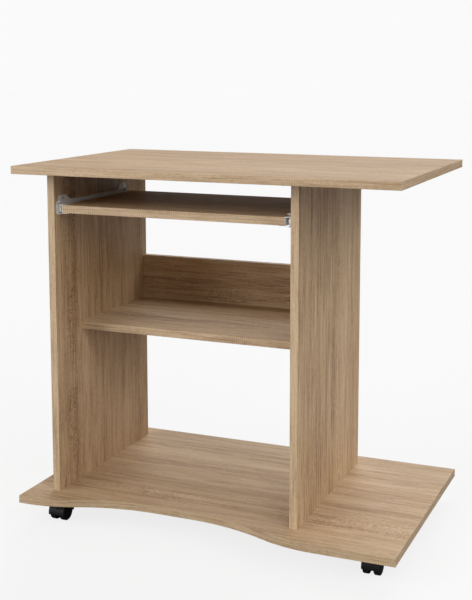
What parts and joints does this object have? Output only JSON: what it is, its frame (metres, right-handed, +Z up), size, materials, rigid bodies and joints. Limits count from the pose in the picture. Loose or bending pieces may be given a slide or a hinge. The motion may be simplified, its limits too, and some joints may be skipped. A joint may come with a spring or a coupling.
{
  "type": "computer desk",
  "caption": "Small oak-laminate computer desk on casters, with a sliding keyboard tray, a shelf, a raised floor panel with a curved front and an open bay for a tower computer.",
  "frame": {"origin": "on the floor, below the middle of the desktop", "axes": "+X to the right along the front, +Y from the front to the back, +Z up"},
  "size_m": [0.8, 0.5, 0.75],
  "materials": {
    "oak_laminate": "matte",
    "oak_edging": "matte",
    "oak_cap": "matte",
    "beech": "matte",
    "zinc_steel": "satin",
    "white_steel": "satin",
    "black_steel": "satin",
    "white_nylon": "satin",
    "black_nylon": "satin",
    "black_wheel": "satin"
  },
  "bodies": {
    "desk_frame": {"top_panel": "oak_laminate", "floor_panel": "oak_laminate", "left_upright": "oak_laminate", "right_upright": "oak_laminate", "shelf": "oak_laminate", "back_stiffener": "oak_laminate", "top_panel_edging": "oak_edging", "floor_panel_edging": "oak_edging", "left_upright_edging": "oak_edging", "right_upright_edging": "oak_edging", "shelf_edging": "oak_edging", "back_stiffener_edging": "oak_edging", "dowels": "beech", "cam_bolts": "zinc_steel", "cam_nuts": "zinc_steel", "cam_covers": "oak_cap", "connecting_screws": "zinc_steel", "left_fixed_rail": "white_steel", "right_fixed_rail": "white_steel", "front_roller_pins": "zinc_steel", "rail_screws": "zinc_steel", "front_left_caster_plate": "black_steel", "front_right_caster_plate": "black_steel", "rear_left_caster_plate": "black_steel", "rear_right_caster_plate": "black_steel", "kingpins": "zinc_steel", "caster_screws": "zinc_steel"},
    "tray": {"keyboard_tray": "oak_laminate", "keyboard_tray_edging": "oak_edging", "left_moving_rail": "white_steel", "right_moving_rail": "white_steel", "rear_roller_pins": "zinc_steel", "tray_screws": "zinc_steel"},
    "left_front_roller": {"left_front_roller": "white_nylon"},
    "left_rear_roller": {"left_rear_roller": "white_nylon"},
    "right_front_roller": {"right_front_roller": "white_nylon"},
    "right_rear_roller": {"right_rear_roller": "white_nylon"},
    "front_left_caster": {"front_left_caster_housing": "black_nylon", "front_left_caster_axle": "zinc_steel"},
    "front_left_wheel_left": {"front_left_wheel_left": "black_wheel"},
    "front_left_wheel_right": {"front_left_wheel_right": "black_wheel"},
    "front_right_caster": {"front_right_caster_housing": "black_nylon", "front_right_caster_axle": "zinc_steel"},
    "front_right_wheel_left": {"front_right_wheel_left": "black_wheel"},
    "front_right_wheel_right": {"front_right_wheel_right": "black_wheel"},
    "rear_left_caster": {"rear_left_caster_housing": "black_nylon", "rear_left_caster_axle": "zinc_steel"},
    "rear_left_wheel_left": {"rear_left_wheel_left": "black_wheel"},
    "rear_left_wheel_right": {"rear_left_wheel_right": "black_wheel"},
    "rear_right_caster": {"rear_right_caster_housing": "black_nylon", "rear_right_caster_axle": "zinc_steel"},
    "rear_right_wheel_left": {"rear_right_wheel_left": "black_wheel"},
    "rear_right_wheel_right": {"rear_right_wheel_right": "black_wheel"}
  },
  "joints": [
    {"name": "tray_slide", "type": "slide", "parent": "desk_frame", "child": "tray", "axis": [0, -1, 0], "range_m": [0, 0.225]},
    {"name": "left_front_roller_spin", "type": "hinge", "parent": "desk_frame", "child": "left_front_roller", "pos_m": [-0.32975, -0.176, 0.659], "axis": [1, 0, 0], "continuous": true},
    {"name": "left_rear_roller_spin", "type": "hinge", "parent": "tray", "child": "left_rear_roller", "pos_m": [-0.32975, 0.098, 0.662], "axis": [1, 0, 0], "continuous": true},
    {"name": "right_front_roller_spin", "type": "hinge", "parent": "desk_frame", "child": "right_front_roller", "pos_m": [0.16975, -0.176, 0.659], "axis": [1, 0, 0], "continuous": true},
    {"name": "right_rear_roller_spin", "type": "hinge", "parent": "tray", "child": "right_rear_roller", "pos_m": [0.16975, 0.098, 0.662], "axis": [1, 0, 0], "continuous": true},
    {"name": "front_left_swivel", "type": "hinge", "parent": "desk_frame", "child": "front_left_caster", "pos_m": [-0.34, -0.195, 0.044], "axis": [0, 0, 1], "continuous": true},
    {"name": "front_left_wheel_left_spin", "type": "hinge", "parent": "front_left_caster", "child": "front_left_wheel_left", "pos_m": [-0.351, -0.184, 0.019], "axis": [1, 0, 0], "continuous": true},
    {"name": "front_left_wheel_right_spin", "type": "hinge", "parent": "front_left_caster", "child": "front_left_wheel_right", "pos_m": [-0.329, -0.184, 0.019], "axis": [1, 0, 0], "continuous": true},
    {"name": "front_right_swivel", "type": "hinge", "parent": "desk_frame", "child": "front_right_caster", "pos_m": [0.34, -0.195, 0.044], "axis": [0, 0, 1], "continuous": true},
    {"name": "front_right_wheel_left_spin", "type": "hinge", "parent": "front_right_caster", "child": "front_right_wheel_left", "pos_m": [0.329, -0.184, 0.019], "axis": [1, 0, 0], "continuous": true},
    {"name": "front_right_wheel_right_spin", "type": "hinge", "parent": "front_right_caster", "child": "front_right_wheel_right", "pos_m": [0.351, -0.184, 0.019], "axis": [1, 0, 0], "continuous": true},
    {"name": "rear_left_swivel", "type": "hinge", "parent": "desk_frame", "child": "rear_left_caster", "pos_m": [-0.34, 0.195, 0.044], "axis": [0, 0, 1], "continuous": true},
    {"name": "rear_left_wheel_left_spin", "type": "hinge", "parent": "rear_left_caster", "child": "rear_left_wheel_left", "pos_m": [-0.351, 0.206, 0.019], "axis": [1, 0, 0], "continuous": true},
    {"name": "rear_left_wheel_right_spin", "type": "hinge", "parent": "rear_left_caster", "child": "rear_left_wheel_right", "pos_m": [-0.329, 0.206, 0.019], "axis": [1, 0, 0], "continuous": true},
    {"name": "rear_right_swivel", "type": "hinge", "parent": "desk_frame", "child": "rear_right_caster", "pos_m": [0.34, 0.195, 0.044], "axis": [0, 0, 1], "continuous": true},
    {"name": "rear_right_wheel_left_spin", "type": "hinge", "parent": "rear_right_caster", "child": "rear_right_wheel_left", "pos_m": [0.329, 0.206, 0.019], "axis": [1, 0, 0], "continuous": true},
    {"name": "rear_right_wheel_right_spin", "type": "hinge", "parent": "rear_right_caster", "child": "rear_right_wheel_right", "pos_m": [0.351, 0.206, 0.019], "axis": [1, 0, 0], "continuous": true}
  ],
  "couplings": [
    {"joint": "left_front_roller_spin", "follows": "tray_slide", "rad_per_m": 123.46},
    {"joint": "left_rear_roller_spin", "follows": "tray_slide", "rad_per_m": 86.957},
    {"joint": "right_front_roller_spin", "follows": "tray_slide", "rad_per_m": 123.46},
    {"joint": "right_rear_roller_spin", "follows": "tray_slide", "rad_per_m": 86.957}
  ]
}
